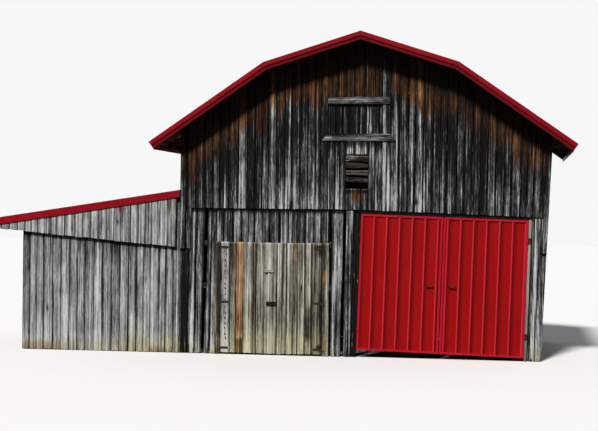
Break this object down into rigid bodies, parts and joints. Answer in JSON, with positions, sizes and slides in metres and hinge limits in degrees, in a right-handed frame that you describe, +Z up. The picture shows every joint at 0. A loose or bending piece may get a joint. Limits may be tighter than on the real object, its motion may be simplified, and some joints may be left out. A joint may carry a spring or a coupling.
{
  "type": "gambrel barn",
  "caption": "Weathered board barn with a two-pitch red metal roof, a lean-to, a pair of ribbed red metal doors and a pair of plank doors.",
  "frame": {"origin": "on the ground, under the middle of the whole building", "axes": "+X to the right along the front, +Y from the front to the back, +Z up"},
  "size_m": [10.655, 5.22, 5.802],
  "materials": {
    "old_boards": "weathered grey",
    "gable_boards": "weathered grey and brown",
    "hatch_boards": "weathered reddish brown",
    "lean_to_boards": "weathered silver grey",
    "old_door_wood": "weathered, stained",
    "new_wood": "sawn",
    "frame_timber": "sawn",
    "red_roof": "satin",
    "red_trim": "satin",
    "red_door": "satin",
    "dark_iron": "dark",
    "rusty_iron": "rusty"
  },
  "bodies": {
    "barn": {"front_wall_left": "old_boards", "front_wall_over_doors": "old_boards", "front_wall_middle": "old_boards", "front_wall_right": "old_boards", "front_gable_boards": "gable_boards", "front_corner_boards": "old_boards", "loft_opening_casing": "old_boards", "loft_opening_boards": "old_boards", "gable_hatch_boards": "hatch_boards", "wood_door_casings": "old_door_wood", "middle_post": "old_boards", "red_doorway_jambs": "new_wood", "red_doorway_head": "new_wood", "left_side_wall": "old_boards", "right_side_wall": "old_boards", "back_wall": "old_boards", "wall_posts": "frame_timber", "wall_plates": "frame_timber", "wall_rails": "frame_timber", "ledgers": "frame_timber", "loft_joists": "frame_timber", "loft_floor": "frame_timber", "lower_rafters": "frame_timber", "upper_rafters": "frame_timber", "roof_beams": "frame_timber", "knee_posts": "frame_timber", "roof_battens": "frame_timber", "roof_sheet_left_lower": "red_roof", "roof_sheet_left_upper": "red_roof", "roof_sheet_right_upper": "red_roof", "roof_sheet_right_lower": "red_roof", "roof_caps": "red_roof", "barge_boards": "red_trim", "rake_trims": "red_trim", "eave_fascias": "red_trim", "lean_to_front_wall": "lean_to_boards", "lean_to_apron": "lean_to_boards", "lean_to_left_wall": "lean_to_boards", "lean_to_back_wall": "lean_to_boards", "lean_to_rafters": "frame_timber", "lean_to_roof_sheet": "red_roof", "lean_to_verge_trims": "red_trim", "lean_to_fascia": "red_trim", "red_door_hinges": "dark_iron", "wood_door_pintles": "rusty_iron"},
    "red_door_left": {"red_door_left_frame": "red_door", "red_door_left_sheet": "red_door", "red_door_left_pull": "dark_iron"},
    "red_door_right": {"red_door_right_frame": "red_door", "red_door_right_sheet": "red_door", "red_door_right_pull": "dark_iron"},
    "wood_door_left": {"wood_door_left": "old_door_wood", "wood_hinges_left": "rusty_iron"},
    "wood_door_right": {"wood_door_right": "old_door_wood", "wood_hinges_right": "rusty_iron"}
  },
  "joints": [
    {"name": "red_door_left_hinge", "type": "hinge", "parent": "barn", "child": "red_door_left", "pos_m": [1.49508, -2.199, 1.35644], "axis": [-0.0279, 0, -0.9996], "range_deg": [0, 100]},
    {"name": "red_door_right_hinge", "type": "hinge", "parent": "barn", "child": "red_door_right", "pos_m": [4.46192, -2.199, 1.27356], "axis": [0.0279, 0, 0.9996], "range_deg": [0, 100]},
    {"name": "wood_door_left_hinge", "type": "hinge", "parent": "barn", "child": "wood_door_left", "pos_m": [-1.0175, -2.199, 1], "axis": [0, 0, -1], "range_deg": [0, 100]},
    {"name": "wood_door_right_hinge", "type": "hinge", "parent": "barn", "child": "wood_door_right", "pos_m": [0.8315, -2.199, 1], "axis": [0, 0, 1], "range_deg": [0, 100]}
  ]
}
